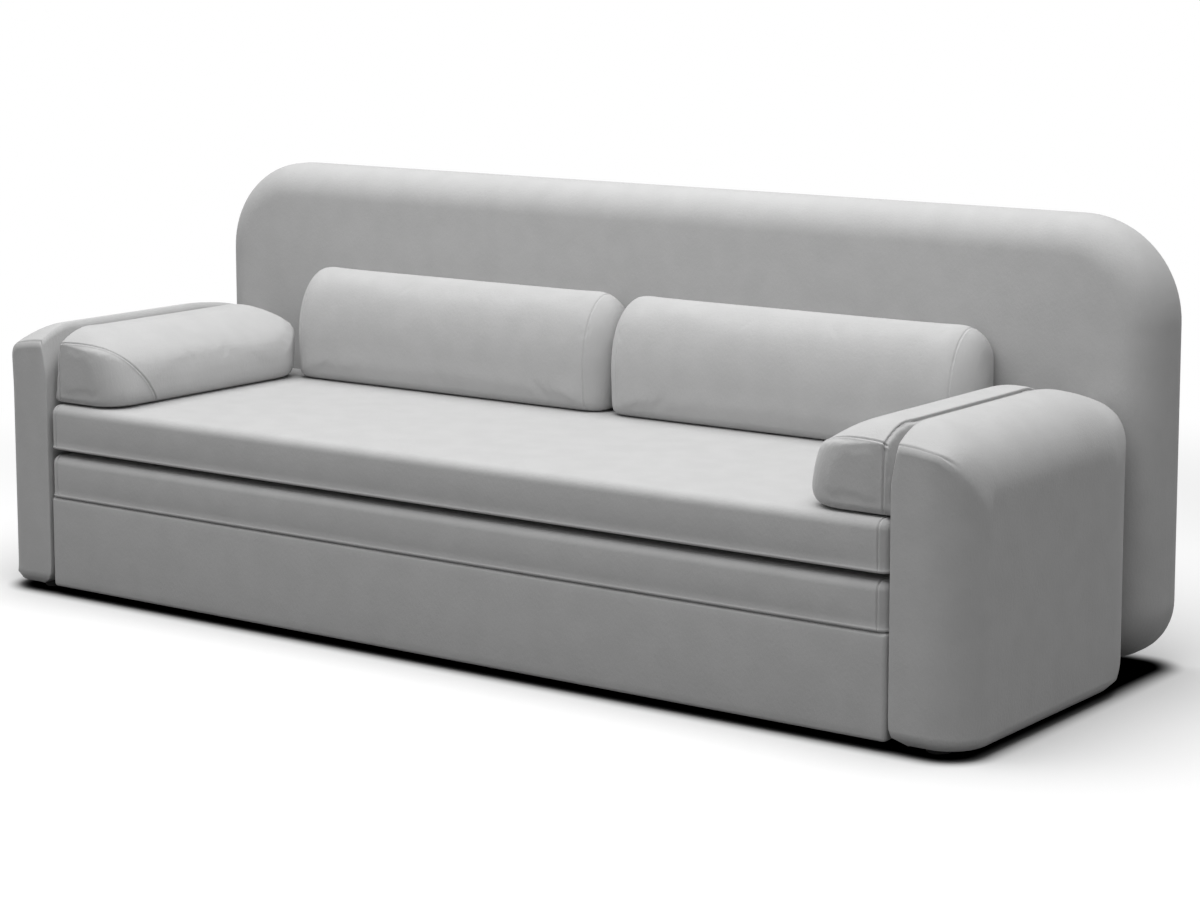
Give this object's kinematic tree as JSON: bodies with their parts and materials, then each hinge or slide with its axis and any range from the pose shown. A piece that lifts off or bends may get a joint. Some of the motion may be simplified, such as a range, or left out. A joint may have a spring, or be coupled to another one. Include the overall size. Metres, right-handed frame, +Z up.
{
  "type": "sleeper sofa",
  "caption": "Upholstered sofa with padded arms, a tall rounded back and loose bolsters, and a castored bed with its own mattress that rolls out from under the seat.",
  "frame": {"origin": "on the floor, in the middle of the sofa's footprint with the bed pushed in", "axes": "+X to the right as seen from the front, +Y from the front to the back, +Z up"},
  "size_m": [2.3, 0.847, 0.846],
  "materials": {
    "upholstery_fabric": "brushed woven upholstery, matt",
    "frame_wood": "planed softwood and plywood",
    "birch_slats": "sanded birch, clear lacquer",
    "fibreboard": "hardboard",
    "frame_steel": "black powder coat",
    "zinc_steel": "zinc plated",
    "wheel_plastic": "grey nylon",
    "black_plastic": "moulded plastic",
    "buffer_rubber": "black rubber"
  },
  "bodies": {
    "sofa_frame": {"arm_bolt_nuts": "zinc_steel", "arm_bolt_spacers": "zinc_steel", "arm_bolts": "zinc_steel", "arm_end_boards": "frame_wood", "arm_inner_board_left": "frame_wood", "arm_inner_board_right": "frame_wood", "arm_outer_board_left": "frame_wood", "arm_outer_board_right": "frame_wood", "arm_rails": "frame_wood", "arm_upholstery_left": "upholstery_fabric", "arm_upholstery_right": "upholstery_fabric", "back_front_board": "fibreboard", "back_posts": "frame_wood", "back_rails": "frame_wood", "back_rear_board": "fibreboard", "back_upholstery": "upholstery_fabric", "floor_glides": "black_plastic", "guide_rail_left": "zinc_steel", "guide_rail_right": "zinc_steel", "guide_rail_screws": "zinc_steel", "seat_angle_left": "frame_steel", "seat_angle_right": "frame_steel", "seat_angle_screws": "zinc_steel", "seat_cross_rails": "frame_steel", "seat_long_rails": "frame_steel", "seat_side_rails": "frame_steel", "seat_slat_holders": "black_plastic", "seat_slats": "birch_slats", "seat_upholstery": "upholstery_fabric"},
    "pull_out_bed": {"bed_front_board": "frame_wood", "bed_front_upholstery": "upholstery_fabric", "bed_ledger": "frame_wood", "bed_mattress": "upholstery_fabric", "bed_mid_beam": "frame_wood", "bed_rear_board": "frame_wood", "bed_screws": "zinc_steel", "bed_side_board_left": "frame_wood", "bed_side_board_right": "frame_wood", "bed_slats": "birch_slats", "castor_axles": "zinc_steel", "castor_bearers": "frame_wood", "castor_forks": "zinc_steel", "castor_screws": "zinc_steel", "rear_buffers": "buffer_rubber", "roller_bracket_screws": "zinc_steel", "roller_brackets": "zinc_steel"},
    "castor_wheel_front_left": {"castor_wheel_front_left": "wheel_plastic"},
    "castor_wheel_front_middle": {"castor_wheel_front_middle": "wheel_plastic"},
    "castor_wheel_front_right": {"castor_wheel_front_right": "wheel_plastic"},
    "castor_wheel_rear_left": {"castor_wheel_rear_left": "wheel_plastic"},
    "castor_wheel_rear_middle": {"castor_wheel_rear_middle": "wheel_plastic"},
    "castor_wheel_rear_right": {"castor_wheel_rear_right": "wheel_plastic"},
    "guide_roller_left": {"guide_roller_left": "wheel_plastic"},
    "guide_roller_right": {"guide_roller_right": "wheel_plastic"},
    "arm_bolster_left": {"arm_bolster_left": "upholstery_fabric"},
    "arm_bolster_right": {"arm_bolster_right": "upholstery_fabric"},
    "back_bolster_left": {"back_bolster_left": "upholstery_fabric"},
    "back_bolster_right": {"back_bolster_right": "upholstery_fabric"}
  },
  "joints": [
    {"name": "bed_slide", "type": "slide", "parent": "sofa_frame", "child": "pull_out_bed", "axis": [0, -1, 0], "range_m": [0, 0.605]},
    {"name": "castor_wheel_front_left_spin", "type": "hinge", "parent": "pull_out_bed", "child": "castor_wheel_front_left", "pos_m": [-0.858, -0.3295, 0.03], "axis": [1, 0, 0], "continuous": true},
    {"name": "castor_wheel_front_middle_spin", "type": "hinge", "parent": "pull_out_bed", "child": "castor_wheel_front_middle", "pos_m": [0, -0.3295, 0.03], "axis": [1, 0, 0], "continuous": true},
    {"name": "castor_wheel_front_right_spin", "type": "hinge", "parent": "pull_out_bed", "child": "castor_wheel_front_right", "pos_m": [0.858, -0.3295, 0.03], "axis": [1, 0, 0], "continuous": true},
    {"name": "castor_wheel_rear_left_spin", "type": "hinge", "parent": "pull_out_bed", "child": "castor_wheel_rear_left", "pos_m": [-0.858, 0.1665, 0.03], "axis": [1, 0, 0], "continuous": true},
    {"name": "castor_wheel_rear_middle_spin", "type": "hinge", "parent": "pull_out_bed", "child": "castor_wheel_rear_middle", "pos_m": [0, 0.1665, 0.03], "axis": [1, 0, 0], "continuous": true},
    {"name": "castor_wheel_rear_right_spin", "type": "hinge", "parent": "pull_out_bed", "child": "castor_wheel_rear_right", "pos_m": [0.858, 0.1665, 0.03], "axis": [1, 0, 0], "continuous": true},
    {"name": "guide_roller_left_spin", "type": "hinge", "parent": "pull_out_bed", "child": "guide_roller_left", "pos_m": [-0.9945, 0.2305, 0.118], "axis": [1, 0, 0], "continuous": true},
    {"name": "guide_roller_right_spin", "type": "hinge", "parent": "pull_out_bed", "child": "guide_roller_right", "pos_m": [0.9945, 0.2305, 0.118], "axis": [1, 0, 0], "continuous": true},
    {"name": "arm_bolster_left_lift", "type": "slide", "parent": "sofa_frame", "child": "arm_bolster_left", "axis": [0, 0, 1], "range_m": [0, 0.3]},
    {"name": "arm_bolster_right_lift", "type": "slide", "parent": "sofa_frame", "child": "arm_bolster_right", "axis": [0, 0, 1], "range_m": [0, 0.3]},
    {"name": "back_bolster_left_lift", "type": "slide", "parent": "sofa_frame", "child": "back_bolster_left", "axis": [0, 0, 1], "range_m": [0, 0.3]},
    {"name": "back_bolster_right_lift", "type": "slide", "parent": "sofa_frame", "child": "back_bolster_right", "axis": [0, 0, 1], "range_m": [0, 0.3]}
  ],
  "couplings": [
    {"joint": "castor_wheel_front_left_spin", "follows": "bed_slide", "rad_per_m": 33.333},
    {"joint": "castor_wheel_front_middle_spin", "follows": "bed_slide", "rad_per_m": 33.333},
    {"joint": "castor_wheel_front_right_spin", "follows": "bed_slide", "rad_per_m": 33.333},
    {"joint": "castor_wheel_rear_left_spin", "follows": "bed_slide", "rad_per_m": 33.333},
    {"joint": "castor_wheel_rear_middle_spin", "follows": "bed_slide", "rad_per_m": 33.333},
    {"joint": "castor_wheel_rear_right_spin", "follows": "bed_slide", "rad_per_m": 33.333},
    {"joint": "guide_roller_left_spin", "follows": "bed_slide", "rad_per_m": 83.333},
    {"joint": "guide_roller_right_spin", "follows": "bed_slide", "rad_per_m": 83.333}
  ]
}
